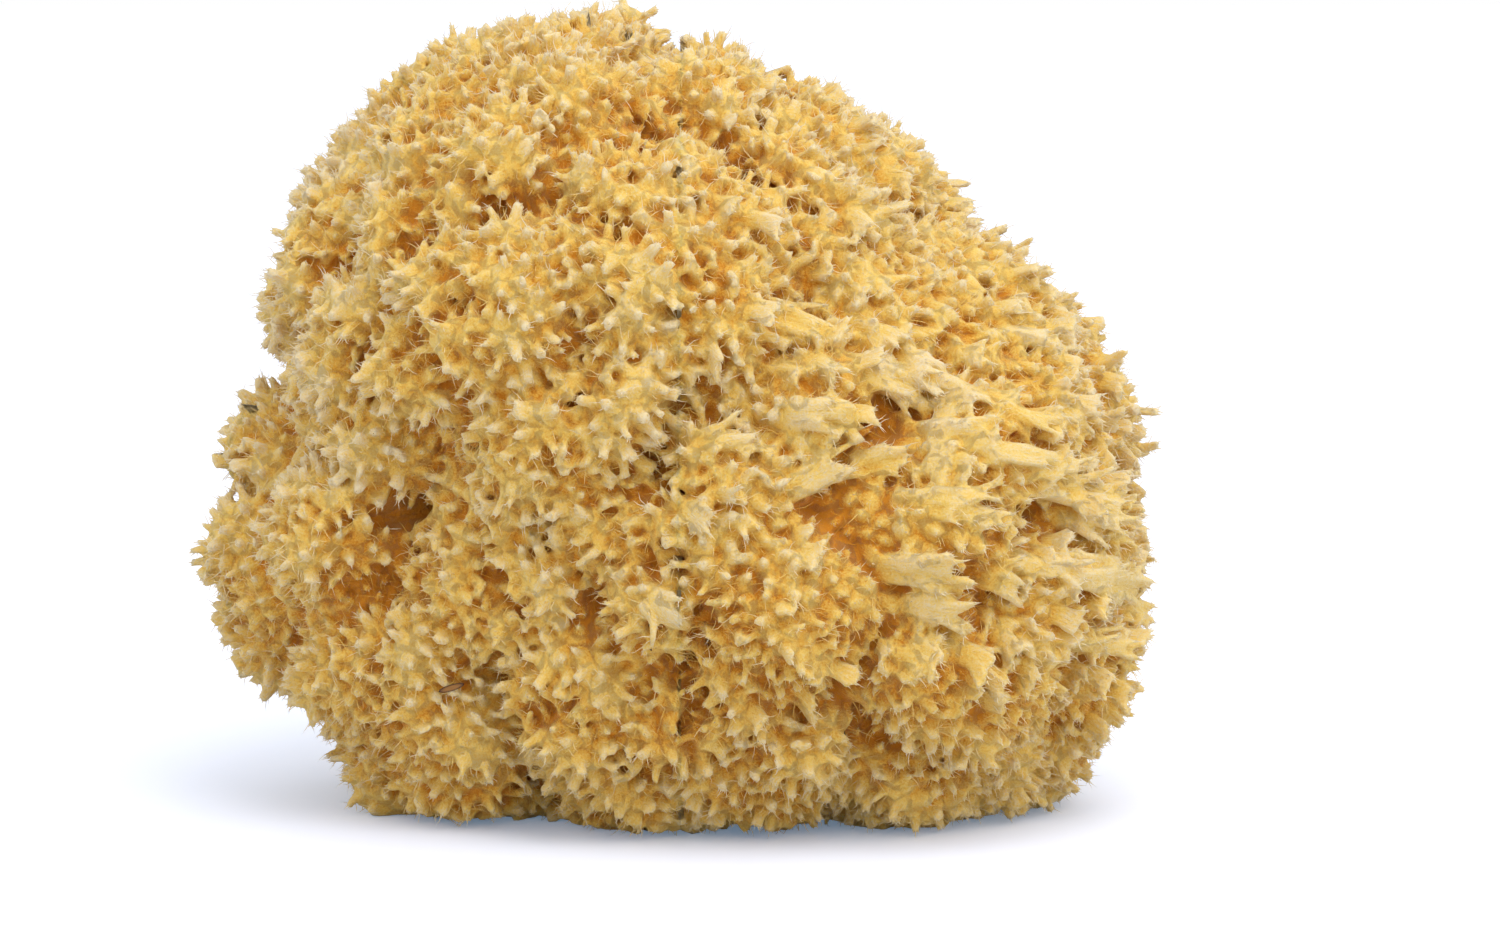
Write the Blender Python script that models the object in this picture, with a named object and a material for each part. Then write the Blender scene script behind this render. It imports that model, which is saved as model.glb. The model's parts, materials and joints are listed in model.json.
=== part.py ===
"""A natural bath sponge: one dried sponge skeleton, cut off flat where it grew.

It is a lopsided dome of big masses, each covered in small rounded lobes. The lobes
carry a close net of conules, the short spines that the fibres end in, and between
them lie the oscula, the deep mouths of the sponge's canals.

Blender, +Z up. The front of the sponge faces -Y. The origin is at the middle of the
flat cut. Sizes below are in millimetres, and the mesh is made in metres.
"""

import math

import bmesh
import bpy
import numpy as np
from mathutils import Vector

MM = 0.001
SEED = 11

# The point inside the sponge that every canal and conule points away from.
HEART = np.array([0.0, 0.0, 55.0])

# The big masses that make the dome: x, y, z of the centre, and the radius.
MASSES = {
    "crown": (-16.0, 3.0, 76.5, 46.4),
    "crown_right": (7.6, 5.0, 74.6, 39.2),
    "right_shoulder": (36.8, 0.0, 54.6, 32.1),
    "belly_right": (26.4, -3.0, 43.0, 45.2),
    "foot_right": (41.0, -2.0, 24.6, 28.9),
    "belly": (-1.0, 0.0, 38.0, 43.2),
    "cheek_left": (-44.3, 2.0, 39.5, 29.6),
    "foot_left": (-31.3, 2.0, 21.3, 27.5),
    "knob_left_low": (-53.4, 0.0, 58.9, 15.0),
    "knob_left_high": (-52.0, 2.0, 72.5, 13.4),
    "back_hump": (8.0, 16.0, 48.0, 40.0),
    "root": (3.4, 0.0, 25.0, 35.5),
}
DEPTH_STRETCH = 1.24  # each mass is this much deeper than it is wide
MASS_BLEND = 2.6  # how softly the masses run into each other

LOBE_COUNT = 150
LOBE_SCATTER = 0.06  # how far each lobe is off its even place, as an angle in radians
LOBE_RADIUS = (8.5, 15.5)
LOBE_RISE = 1.4  # how far the lobes' tops stand over the masses
CREASE_DEPTH = 7.0  # how far the creases between lobes go under the masses
LOBE_BLEND = 0.8

# The waves that bend the lobes, so that none is quite round, as angles in radians.
LOBE_BEND = 0.035
BEND_WAVES = 17.0
BEND_START = (0.4, 2.1, 4.0)

# The net of conules. Each is a low pyramid on a patch of the surface.
CONULE_SPACING = 4.75
CONULE_HEIGHT = (2.9, 3.7)
CONULE_SINK = 2.6  # the masses reach the conules' tips, so the net starts under them
CANDIDATES = 24000  # the even places that the net's corners are picked from

# The oscula seen on the front. Each is given by its depth, after the x and z where the
# line of sight to its mouth crosses the upright plane through the heart.
VIEW_POINT = np.array([10.4, -866.0, 151.0])
FRONT_OSCULA = [
    (-6.5, 108.5, 9), (-2.5, 104.0, 8), (10.0, 100.5, 8), (15.5, 96.5, 7),
    (-9.8, 91.0, 9), (-9.5, 79.5, 9), (-31.0, 91.5, 7), (-34.5, 81.0, 7),
    (-43.0, 90.5, 5), (-55.0, 83.5, 5), (-49.0, 69.5, 6), (-40.5, 71.0, 7),
    (-17.0, 63.0, 9), (-4.5, 55.5, 7), (-3.0, 50.0, 8), (3.0, 49.0, 8),
    (-45.5, 41.5, 12), (-41.5, 45.5, 11), (-2.5, 39.0, 7), (-53.0, 31.5, 5),
    (-28.0, 32.5, 6), (2.5, 27.5, 11), (2.5, 21.5, 11), (2.3, 15.0, 10),
    (-22.5, 14.5, 9), (-22.0, 6.5, 8), (27.0, 10.5, 9), (10.5, 66.5, 7),
    (31.0, 59.5, 8), (53.0, 45.5, 9), (45.0, 35.0, 8), (36.0, 10.5, 6),
]
OTHER_OSCULA = 74  # on the back, the sides, the top and under the cut
OTHER_OSCULA_BEHIND = 8.0  # they start this far behind the middle, or under the cut
OTHER_DEPTH = (5.0, 11.0)
CANAL_GROWTH = 1.6  # a canal under the cut is deeper by this many times what is cut off it
BARE_MIDDLE = 12.0  # no canal opens this near the middle of the cut
OSCULUM_SPACING = 12.8
OSCULUM_GAP = 5.1  # least distance from an osculum to the conules round it

SPONGE_COLOUR = (0.83, 0.61, 0.27, 1.0)
SPONGE_ROUGHNESS = 0.85

GOLDEN_ANGLE = math.pi * (3 - math.sqrt(5))


def clear_scene():
    for old in list(bpy.data.objects):
        bpy.data.objects.remove(old, do_unlink=True)


def spread_directions(count):
    """Even directions from the heart, along a spiral from the top to the bottom."""
    turn = np.arange(count)
    z = 1 - (2 * turn + 1) / count
    ring = np.sqrt(1 - z * z)
    angle = GOLDEN_ANGLE * turn
    return np.stack([ring * np.cos(angle), ring * np.sin(angle), z], axis=1)


def ball_exits(directions, centres, radii):
    """How many lengths of each direction reach from the heart to where it leaves each ball.
    It is 0 on a miss."""
    length = (directions**2).sum(axis=1)[:, None]
    along = directions @ centres.T
    inside = along**2 - length * ((centres**2).sum(axis=1) - radii**2)
    return np.where(inside > 0, along + np.sqrt(np.maximum(inside, 0)), 0.0) / length


def soft_largest(values, blend):
    """The largest value in each row, rounded over where two are nearly equal."""
    top = values.max(axis=1)
    share = np.exp((values - top[:, None]) / blend).sum(axis=1)
    return top + blend * np.log(share)


def mass_reach(directions):
    """The distance from the heart to the skin of the masses, which reaches the conules' tips."""
    stretched = directions / np.array([1.0, DEPTH_STRETCH, 1.0])
    balls = np.array(list(MASSES.values()))
    centres = (balls[:, :3] - HEART) / np.array([1.0, DEPTH_STRETCH, 1.0])
    return soft_largest(ball_exits(stretched, centres, balls[:, 3]), MASS_BLEND)


def make_lobes():
    """Centres, from the heart, and radii of the lobes that cover the masses."""
    random = np.random.default_rng(SEED)
    directions = spread_directions(LOBE_COUNT)
    directions += random.normal(0, LOBE_SCATTER, (LOBE_COUNT, 3))
    directions /= np.linalg.norm(directions, axis=1)[:, None]
    radii = random.uniform(*LOBE_RADIUS, LOBE_COUNT)
    depth = mass_reach(directions) - CONULE_SINK + LOBE_RISE - radii
    return directions * depth[:, None], radii


def bend(directions):
    """Pushes each direction sideways by waves that run across its neighbours."""
    waves = np.sin(BEND_WAVES * directions[:, [1, 2, 0]] + np.array(BEND_START))
    bent = directions + LOBE_BEND * waves
    return bent / np.linalg.norm(bent, axis=1)[:, None]


def skin_reach(directions, lobes):
    """The distance from the heart to the lobed skin that the conules stand on."""
    centres, radii = lobes
    floor = mass_reach(directions) - CONULE_SINK - CREASE_DEPTH
    exits = ball_exits(bend(directions), centres, radii)
    return soft_largest(np.column_stack([floor, exits]), LOBE_BLEND)


def pick_front_oscula(points):
    """The front candidate nearest the line of sight to each osculum on the front."""
    front = np.flatnonzero(points[:, 1] < 0)
    sight = points[front] - VIEW_POINT
    crossing = VIEW_POINT - sight * (VIEW_POINT[1] / sight[:, 1])[:, None]
    mouths = []
    for x, z, _ in FRONT_OSCULA:
        off = np.hypot(crossing[:, 0] - x, crossing[:, 2] - z)
        mouths.append(int(front[off.argmin()]))
    return mouths, [depth for _, _, depth in FRONT_OSCULA]


def add_other_oscula(points, mouths, depths, random):
    """Oscula at random on the back, the sides and the top, and canals that the cut opens."""
    x, y, z = points.T
    under_cut = z < 0
    room = np.where(under_cut, np.hypot(x, y) > BARE_MIDDLE, y > OTHER_OSCULA_BEHIND)
    for i in random.permutation(np.flatnonzero(room)):
        if len(mouths) == len(FRONT_OSCULA) + OTHER_OSCULA:
            break
        if np.linalg.norm(points[mouths] - points[i], axis=1).min() > OSCULUM_SPACING:
            mouths.append(int(i))
            depths.append(random.uniform(*OTHER_DEPTH) - CANAL_GROWTH * min(z[i], 0))


def pick_net(points):
    """Which candidates carry the net, the oscula first and then conules in the room left,
    and how deep each osculum is."""
    random = np.random.default_rng(SEED + 1)
    mouths, depths = pick_front_oscula(points)
    add_other_oscula(points, mouths, depths, random)
    mouth_count = len(mouths)
    net = np.empty_like(points)
    net[:mouth_count] = points[mouths]
    chosen = list(mouths)
    for i in random.permutation(len(points)):
        away = np.linalg.norm(net[: len(chosen)] - points[i], axis=1)
        if away[:mouth_count].min() > OSCULUM_GAP and away.min() > CONULE_SPACING:
            net[len(chosen)] = points[i]
            chosen.append(int(i))
    return chosen, depths


def net_mesh(directions):
    """A closed net round the heart with a corner at each direction, and a cell round each
    whose own corners lie between three neighbours."""
    net = bmesh.new()
    for direction in directions:
        net.verts.new(direction)
    bmesh.ops.convex_hull(net, input=net.verts)
    net.verts.ensure_lookup_table()
    between = list(net.edges)
    bmesh.ops.poke(net, faces=list(net.faces))
    bmesh.ops.rotate_edges(net, edges=between)
    net.verts.ensure_lookup_table()
    return net


def raise_conules(net, depths, net_size):
    """Sinks each osculum's floor towards the heart, and lifts each conule's tip off the skin."""
    random = np.random.default_rng(SEED + 2)
    net.normal_update()
    corners = list(net.verts)[:net_size]
    lifts = [corner.normal * random.uniform(*CONULE_HEIGHT) for corner in corners]
    for corner, depth in zip(corners, depths):
        corner.co += (Vector(HEART) - corner.co).normalized() * depth
    for corner, lift in zip(corners[len(depths) :], lifts[len(depths) :]):
        corner.co += lift


def cut_flat(net):
    """Cuts the sponge off at the surface it stands on, and closes the cut."""
    everything = list(net.verts) + list(net.edges) + list(net.faces)
    bmesh.ops.bisect_plane(
        net, geom=everything, plane_co=(0, 0, 0), plane_no=(0, 0, -1), clear_outer=True
    )
    rim = [edge for edge in net.edges if edge.is_boundary]
    bmesh.ops.triangle_fill(net, edges=rim, use_beauty=True, normal=(0, 0, -1))
    bmesh.ops.recalc_face_normals(net, faces=list(net.faces))


def sponge_material():
    material = bpy.data.materials.new("sponge_fibre")
    material.use_nodes = True
    shader = material.node_tree.nodes["Principled BSDF"]
    shader.inputs["Base Color"].default_value = SPONGE_COLOUR
    shader.inputs["Roughness"].default_value = SPONGE_ROUGHNESS
    shader.inputs["Metallic"].default_value = 0.0
    return material


clear_scene()
lobes = make_lobes()
candidates = spread_directions(CANDIDATES)
candidate_points = HEART + candidates * skin_reach(candidates, lobes)[:, None]
chosen, osculum_depths = pick_net(candidate_points)

net = net_mesh(candidates[chosen])
corner_directions = np.array([corner.co.normalized() for corner in net.verts])
corner_reach = skin_reach(corner_directions, lobes)
for corner, direction, reach in zip(net.verts, corner_directions, corner_reach):
    corner.co = Vector(HEART + direction * reach)
raise_conules(net, osculum_depths, len(chosen))
cut_flat(net)
bmesh.ops.scale(net, vec=(MM, MM, MM), verts=list(net.verts))

mesh = bpy.data.meshes.new("sponge")
net.to_mesh(mesh)
net.free()
mesh.materials.append(sponge_material())
sponge = bpy.data.objects.new("sponge", mesh)
bpy.context.scene.collection.objects.link(sponge)
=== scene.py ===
import json
import math

import bmesh
import bpy
import numpy as np
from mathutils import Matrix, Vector
from mathutils.kdtree import KDTree

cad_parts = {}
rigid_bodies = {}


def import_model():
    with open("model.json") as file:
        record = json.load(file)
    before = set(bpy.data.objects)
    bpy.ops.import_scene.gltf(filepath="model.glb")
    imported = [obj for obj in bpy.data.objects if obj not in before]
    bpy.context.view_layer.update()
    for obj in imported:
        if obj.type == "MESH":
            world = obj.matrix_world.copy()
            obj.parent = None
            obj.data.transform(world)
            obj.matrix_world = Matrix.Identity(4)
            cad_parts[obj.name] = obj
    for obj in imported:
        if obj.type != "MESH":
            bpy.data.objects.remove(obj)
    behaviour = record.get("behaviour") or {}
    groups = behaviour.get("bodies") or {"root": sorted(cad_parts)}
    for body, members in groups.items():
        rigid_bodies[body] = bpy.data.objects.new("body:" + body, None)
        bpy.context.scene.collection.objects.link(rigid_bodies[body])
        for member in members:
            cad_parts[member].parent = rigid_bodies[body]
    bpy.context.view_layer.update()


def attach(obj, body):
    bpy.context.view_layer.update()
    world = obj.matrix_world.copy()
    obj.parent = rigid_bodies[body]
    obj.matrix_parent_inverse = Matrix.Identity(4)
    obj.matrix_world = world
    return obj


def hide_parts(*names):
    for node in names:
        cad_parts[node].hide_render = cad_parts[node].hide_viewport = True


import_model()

# The skin
# A bath sponge is one felted skeleton of spongin fibre. It grew as a lopsided dome of
# masses, each covered in small round lobes, and the deep round mouths between the lobes
# are its oscula. It was cut off flat where it grew. Lengths in this section's lists are
# in millimetres, and the heart is the point that every canal runs in from.
MM = 0.001
SEED = 11
HEART = np.array([0.0, 0.0, 55.0])

MASSES = {
    "crown": (-16.0, 3.0, 76.5, 46.4),
    "crown_right": (7.6, 5.0, 74.6, 39.2),
    "right_shoulder": (36.8, 0.0, 54.6, 32.1),
    "belly_right": (26.4, -3.0, 43.0, 45.2),
    "foot_right": (41.0, -2.0, 24.6, 28.9),
    "belly": (-1.0, 0.0, 38.0, 43.2),
    "cheek_left": (-44.3, 2.0, 39.5, 29.6),
    "foot_left": (-31.3, 2.0, 21.3, 27.5),
    "knob_left_low": (-53.4, 0.0, 58.9, 15.0),
    "knob_left_high": (-52.0, 2.0, 72.5, 13.4),
    "back_hump": (8.0, 16.0, 48.0, 40.0),
    "root": (3.4, 0.0, 25.0, 35.5),
}
DEPTH_STRETCH = 1.24
MASS_BLEND = 2.6

LOBE_COUNT = 150
LOBE_SCATTER = 0.06
LOBE_RADIUS = (8.5, 15.5)
LOBE_RISE = 1.4
CREASE_DEPTH = 7.0
LOBE_BLEND = 0.8
LOBE_BEND = 0.035
BEND_WAVES = 17.0
BEND_START = (0.4, 2.1, 4.0)
CONULE_SINK = 2.6  # the masses reach the conules' tips, and the skin lies under them

# The oscula on the front: the x and z where the line of sight to its mouth crosses the
# upright plane through the heart, its depth and its radius.
VIEW_POINT = np.array([10.4, -866.0, 151.0])
FRONT_OSCULA = [
    (-6.5, 108.5, 9, 3.4), (-2.5, 104.0, 8, 3.2), (10.0, 100.5, 8, 3.6), (15.5, 96.5, 7, 3.2),
    (-9.8, 91.0, 9, 2.6), (-9.5, 79.5, 9, 2.6), (-31.0, 91.5, 7, 2.6), (-34.5, 81.0, 7, 2.4),
    (-43.0, 90.5, 5, 2.6), (-55.0, 83.5, 5, 2.8), (-49.0, 69.5, 6, 3.0), (-40.5, 71.0, 7, 3.0),
    (-17.0, 63.0, 9, 2.6), (-4.5, 55.5, 7, 2.6), (-3.0, 50.0, 8, 2.8), (3.0, 49.0, 8, 2.6),
    (-45.5, 41.5, 12, 4.2), (-41.5, 45.5, 11, 3.6), (-2.5, 39.0, 7, 3.0), (-53.0, 31.5, 5, 2.6),
    (-28.0, 32.5, 6, 2.6), (2.5, 27.5, 11, 3.0), (2.5, 21.5, 11, 2.8), (2.3, 15.0, 10, 2.8),
    (-22.5, 14.5, 9, 3.0), (-22.0, 6.5, 8, 3.0), (27.0, 10.5, 9, 2.6), (10.5, 66.5, 7, 2.2),
    (31.0, 59.5, 8, 2.6), (53.0, 45.5, 9, 2.8), (45.0, 35.0, 8, 2.8), (36.0, 10.5, 6, 2.6),
]
# Shallow hollows among the lobes on the front, which the painted shade colours amber, given in the same
# way.
FRONT_HOLLOWS = [
    (-43.0, 90.5, 4.5, 5.5), (-54.5, 83.0, 4.0, 5.0), (12.0, 98.5, 4.5, 6.0), (-50.0, 69.5, 4.0, 5.5),
    (-38.5, 67.0, 4.5, 5.0), (-29.0, 94.0, 4.5, 4.5), (-36.0, 79.5, 4.5, 5.0), (-43.0, 42.5, 4.0, 4.5),
    (1.9, 21.5, 6.0, 4.2), (1.9, 14.5, 6.5, 4.2), (-20.0, 8.5, 4.5, 5.5), (28.0, 12.0, 4.5, 5.5),
    (52.0, 44.0, 4.0, 5.0), (45.0, 34.0, 4.5, 4.5), (-7.0, 106.0, 4.5, 6.5), (-30.0, 32.0, 3.5, 4.5),
    (-17.5, 63.0, 4.0, 4.0), (-3.5, 52.0, 4.0, 5.0), (-55.0, 33.0, 4.0, 5.0), (-23.0, 14.0, 5.0, 4.0),
    (30.0, 60.0, 3.5, 4.5), (-62.0, 62.0, 4.0, 4.5), (40.0, 72.0, 3.5, 5.0), (54.0, 64.0, 3.5, 5.0),
    (-4.3, 27.5, 4.5, 2.8), (1.7, 9.0, 5.0, 3.6),
]
OTHER_OSCULA = 74
OTHER_OSCULA_BEHIND = 8.0
OTHER_DEPTH = (5.0, 11.0)
OTHER_RADIUS = (2.2, 3.6)
CANAL_GROWTH = 1.6
BARE_MIDDLE = 12.0
OSCULUM_SPACING = 12.8
CANDIDATES = 24000
GOLDEN_ANGLE = math.pi * (3 - math.sqrt(5))
SKIN_SINK = 1.1  # so that the drawn-out fibres end no higher than the masses
MOUTH_WAVES = 64.0
MOUTH_RAGGED = 0.022
BASE_FILL = 6.0  # the creases are shallower near the cut
SWELLS = 10
SWELL_WAVES = (22.0, 60.0)
SWELL_HEIGHT = 0.42


def spread_directions(count):
    """Even directions from the heart, along a spiral from the top to the bottom."""
    turn = np.arange(count)
    z = 1 - (2 * turn + 1) / count
    ring = np.sqrt(1 - z * z)
    angle = GOLDEN_ANGLE * turn
    return np.stack([ring * np.cos(angle), ring * np.sin(angle), z], axis=1)


def ball_exits(directions, centres, radii):
    """How many lengths of each direction reach from the heart to where it leaves each ball.
    It is 0 on a miss."""
    length = (directions**2).sum(axis=1)[:, None]
    along = directions @ centres.T
    inside = along**2 - length * ((centres**2).sum(axis=1) - radii**2)
    return np.where(inside > 0, along + np.sqrt(np.maximum(inside, 0)), 0.0) / length


def soft_largest(values, blend):
    """The largest value in each row, rounded over where two are nearly equal."""
    top = values.max(axis=1)
    share = np.exp((values - top[:, None]) / blend).sum(axis=1)
    return top + blend * np.log(share)


def mass_reach(directions):
    """The distance from the heart to the skin of the masses, which reaches the conules' tips."""
    stretched = directions / np.array([1.0, DEPTH_STRETCH, 1.0])
    balls = np.array(list(MASSES.values()))
    centres = (balls[:, :3] - HEART) / np.array([1.0, DEPTH_STRETCH, 1.0])
    return soft_largest(ball_exits(stretched, centres, balls[:, 3]), MASS_BLEND)


def make_lobes():
    """Centres, from the heart, and radii of the lobes that cover the masses."""
    random = np.random.default_rng(SEED)
    directions = spread_directions(LOBE_COUNT)
    directions += random.normal(0, LOBE_SCATTER, (LOBE_COUNT, 3))
    directions /= np.linalg.norm(directions, axis=1)[:, None]
    radii = random.uniform(*LOBE_RADIUS, LOBE_COUNT)
    depth = mass_reach(directions) - CONULE_SINK + LOBE_RISE - radii
    return directions * depth[:, None], radii


def bend(directions):
    """Pushes each direction sideways by waves that run across its neighbours."""
    waves = np.sin(BEND_WAVES * directions[:, [1, 2, 0]] + np.array(BEND_START))
    bent = directions + LOBE_BEND * waves
    return bent / np.linalg.norm(bent, axis=1)[:, None]


def skin_reach(directions, lobes):
    """The distance from the heart to the lobed skin that the conules stand on."""
    centres, radii = lobes
    floor = mass_reach(directions) - CONULE_SINK - CREASE_DEPTH
    exits = ball_exits(bend(directions), centres, radii)
    return soft_largest(np.column_stack([floor, exits]), LOBE_BLEND)


def front_places(points, listed):
    """The points on the front that are seen at the listed places."""
    front = np.flatnonzero(points[:, 1] < 0)
    sight = points[front] - VIEW_POINT
    crossing = VIEW_POINT - sight * (VIEW_POINT[1] / sight[:, 1])[:, None]
    return [
        int(front[np.hypot(crossing[:, 0] - x, crossing[:, 2] - z).argmin()]) for x, z, *_ in listed
    ]


def pick_oscula(points):
    """The mouth, depth and radius of each osculum, the front ones first."""
    random = np.random.default_rng(SEED + 1)
    mouths = front_places(points, FRONT_OSCULA)
    depths = [depth for _, _, depth, _ in FRONT_OSCULA]
    radii = [radius for *_, radius in FRONT_OSCULA]
    x, y, z = points.T
    room = np.where(z < 0, np.hypot(x, y) > BARE_MIDDLE, y > OTHER_OSCULA_BEHIND)
    for i in random.permutation(np.flatnonzero(room)):
        if len(mouths) == len(FRONT_OSCULA) + OTHER_OSCULA:
            break
        if np.linalg.norm(points[mouths] - points[i], axis=1).min() > OSCULUM_SPACING:
            mouths.append(int(i))
            depths.append(random.uniform(*OTHER_DEPTH) - CANAL_GROWTH * min(z[i], 0))
    size_random = np.random.default_rng(SEED + 3)
    radii += list(size_random.uniform(*OTHER_RADIUS, len(mouths) - len(radii)))
    return mouths, np.array(depths, float), np.array(radii)


def smooth_step(low, high, value):
    share = np.clip((value - low) / (high - low), 0, 1)
    return share * share * (3 - 2 * share)


lobes = make_lobes()
candidates = spread_directions(CANDIDATES)
candidate_points = HEART + candidates * skin_reach(candidates, lobes)[:, None]
mouths, osculum_depths, osculum_radii = pick_oscula(candidate_points)
mouth_directions = candidates[mouths]
hollow_directions = [candidates[k] for k in front_places(candidate_points, FRONT_HOLLOWS)]

# Bare skin: a fine ball of directions, each pushed out to the lobed skin, stopped at the
# flat cut and sunk where an osculum opens.
BALL_SPLITS = 8

ball = bmesh.new()
bmesh.ops.create_icosphere(ball, subdivisions=BALL_SPLITS, radius=1.0)
skin_mesh = bpy.data.meshes.new("sponge_skin")
ball.to_mesh(skin_mesh)
ball.free()
count = len(skin_mesh.vertices)
directions = np.empty(count * 3)
skin_mesh.vertices.foreach_get("co", directions)
directions = directions.reshape(-1, 3)
directions /= np.linalg.norm(directions, axis=1)[:, None]


def swell(directions):
    """Low uneven swellings that break the roundness of the lobes."""
    random = np.random.default_rng(SEED + 2)
    total = np.zeros(len(directions))
    for _ in range(SWELLS):
        way = random.normal(0, 1, 3)
        way *= random.uniform(*SWELL_WAVES) / np.linalg.norm(way)
        total += np.sin(directions @ way + random.uniform(0, 6.28))
    return total * SWELL_HEIGHT


def sunk_reach(directions, lobes):
    """Distance from the heart to the bare skin, how deep that is in an osculum, how deep in
    a shallow hollow, and whether it lies on the cut."""
    masses = mass_reach(directions)
    low = 1 - smooth_step(6.0, 24.0, HEART[2] + directions[:, 2] * masses)
    shallow = masses - CONULE_SINK - CREASE_DEPTH + BASE_FILL * low
    free = soft_largest(np.stack([skin_reach(directions, lobes), shallow], axis=1), 0.6)
    free += swell(directions) - SKIN_SINK
    down = np.minimum(directions[:, 2], -1e-6)
    to_cut = np.where(directions[:, 2] < 0, -HEART[2] / down, np.inf)
    reach = np.minimum(free, to_cut)
    sink = np.zeros(len(directions))
    ragged = directions + MOUTH_RAGGED * np.sin(MOUTH_WAVES * directions[:, [1, 2, 0]])
    ragged /= np.linalg.norm(ragged, axis=1)[:, None]
    for mouth, depth, radius in zip(mouth_directions, osculum_depths, osculum_radii):
        facing = ragged @ mouth
        off = reach * np.sqrt(np.maximum(1 - facing * facing, 0))
        inside = (facing > 0) & (off < radius * 1.4)
        profile = 1 - smooth_step(0.35, 1.35, off[inside] / radius)
        open_share = 0.5 + 0.4 * smooth_step(2.7, 3.8, radius)
        sink[inside] = np.maximum(sink[inside], profile * depth * open_share)
    hollow = np.zeros(len(directions))
    for mouth, (_, _, depth, radius) in zip(hollow_directions, FRONT_HOLLOWS):
        off = reach * np.sqrt(np.maximum(1 - np.minimum(ragged @ mouth, 1) ** 2, 0))
        profile = (1 - smooth_step(0.2, 1.2, off / radius)) * (ragged @ mouth > 0)
        hollow += profile * depth * (1 - 0.6 * smooth_step(0, 4, sink + hollow))
    return reach - sink - hollow, sink, hollow, free >= to_cut


reach, sink, hollow, on_cut = sunk_reach(directions, lobes)
bare_points = HEART + directions * reach[:, None]
skin_mesh.vertices.foreach_set("co", (bare_points * MM).ravel())
skin_mesh.update()


def write_attribute(mesh, name, values):
    """Stores one number, or one vector, for each point of a mesh."""
    values = np.asarray(values, float)
    kind = "FLOAT" if values.ndim == 1 else "FLOAT_VECTOR"
    attribute = mesh.attributes.new(name, kind, "POINT")
    attribute.data.foreach_set("value" if values.ndim == 1 else "vector", values.ravel())


def read_attribute(mesh, name, width=1):
    attribute = mesh.attributes[name]
    values = np.empty(len(attribute.data) * width)
    attribute.data.foreach_get("value" if width == 1 else "vector", values)
    return values if width == 1 else values.reshape(-1, width)


def points_of(mesh):
    values = np.empty(len(mesh.vertices) * 3)
    mesh.vertices.foreach_get("co", values)
    return values.reshape(-1, 3)


def add_node(tree, kind, inputs=None, **settings):
    """Adds a node, with its settings, and its inputs as values or as links."""
    node = tree.nodes.new(kind)
    for name, value in settings.items():
        setattr(node, name, value)
    for socket, value in (inputs or {}).items():
        if isinstance(value, bpy.types.NodeSocket):
            tree.links.new(value, node.inputs[socket])
        else:
            node.inputs[socket].default_value = value
    return node


def new_tree(name, inputs):
    """A Geometry Nodes tree with these named inputs, each given as (socket kind, value)."""
    tree = bpy.data.node_groups.new(name, "GeometryNodeTree")
    tree.interface.new_socket("Geometry", in_out="INPUT", socket_type="NodeSocketGeometry")
    tree.interface.new_socket("Geometry", in_out="OUTPUT", socket_type="NodeSocketGeometry")
    for label, (kind, value) in inputs.items():
        socket = tree.interface.new_socket(label, in_out="INPUT", socket_type=kind)
        if value is not None:
            socket.default_value = value
    return tree, tree.nodes.new("NodeGroupInput"), tree.nodes.new("NodeGroupOutput")


def placed(name, data):
    """Puts a mesh, a lamp or a camera in the scene as an object."""
    thing = bpy.data.objects.new(name, data)
    bpy.context.scene.collection.objects.link(thing)
    return thing


def run_tree(mesh, tree, name, values=None):
    """The plain mesh that a tree makes from a mesh."""
    carrier = placed(name + "_carrier", mesh)
    modifier = carrier.modifiers.new("tree", "NODES")
    modifier.node_group = tree
    for socket in tree.interface.items_tree:
        if socket.in_out == "INPUT" and values and socket.name in values:
            modifier[socket.identifier] = values[socket.name]
    depsgraph = bpy.context.evaluated_depsgraph_get()
    result = bpy.data.meshes.new_from_object(carrier.evaluated_get(depsgraph))
    result.name = name
    bpy.data.objects.remove(carrier, do_unlink=True)
    return result


# Where each conule stands: even but unruled places on the bare skin, none on the cut and
# few in the oscula.
CONULE_SPACING = 2.3
TUFT_SPACING = 6.0
PULL = (0.0, 0.1)

crease_depth = mass_reach(directions) - CONULE_SINK - SKIN_SINK - reach - sink - hollow
room = np.where(on_cut, 0.0, 1 - 0.7 * smooth_step(3.0, 6.5, sink))
room *= 1 - 0.4 * smooth_step(4.0, 7.0, crease_depth)
room[bare_points[:, 2] < 1.2] = 0
write_attribute(skin_mesh, "room", room)
write_attribute(skin_mesh, "sink", sink)

tree, given, made = new_tree(
    "conule_places",
    {"Spacing": ("NodeSocketFloat", 0.003), "Seed": ("NodeSocketInt", 1)},
)
room_field = add_node(tree, "GeometryNodeInputNamedAttribute", {"Name": "room"}, data_type="FLOAT")
scatter = add_node(
    tree,
    "GeometryNodeDistributePointsOnFaces",
    {
        "Mesh": given.outputs["Geometry"],
        "Distance Min": given.outputs["Spacing"],
        "Density Max": 1.0e6,
        "Density Factor": room_field.outputs["Attribute"],
        "Seed": given.outputs["Seed"],
    },
    distribute_method="POISSON",
    use_legacy_normal=False,
)
outward = add_node(
    tree,
    "GeometryNodeStoreNamedAttribute",
    {"Geometry": scatter.outputs["Points"], "Name": "outward", "Value": scatter.outputs["Normal"]},
    data_type="FLOAT_VECTOR",
    domain="POINT",
)
corners = add_node(tree, "GeometryNodePointsToVertices", {"Points": outward.outputs["Geometry"]})
tree.links.new(corners.outputs["Mesh"], made.inputs["Geometry"])

places_mesh = run_tree(
    skin_mesh, tree, "conule_places", {"Spacing": CONULE_SPACING * MM, "Seed": 3}
)
places = points_of(places_mesh) / MM
outward = read_attribute(places_mesh, "outward", 3)

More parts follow.
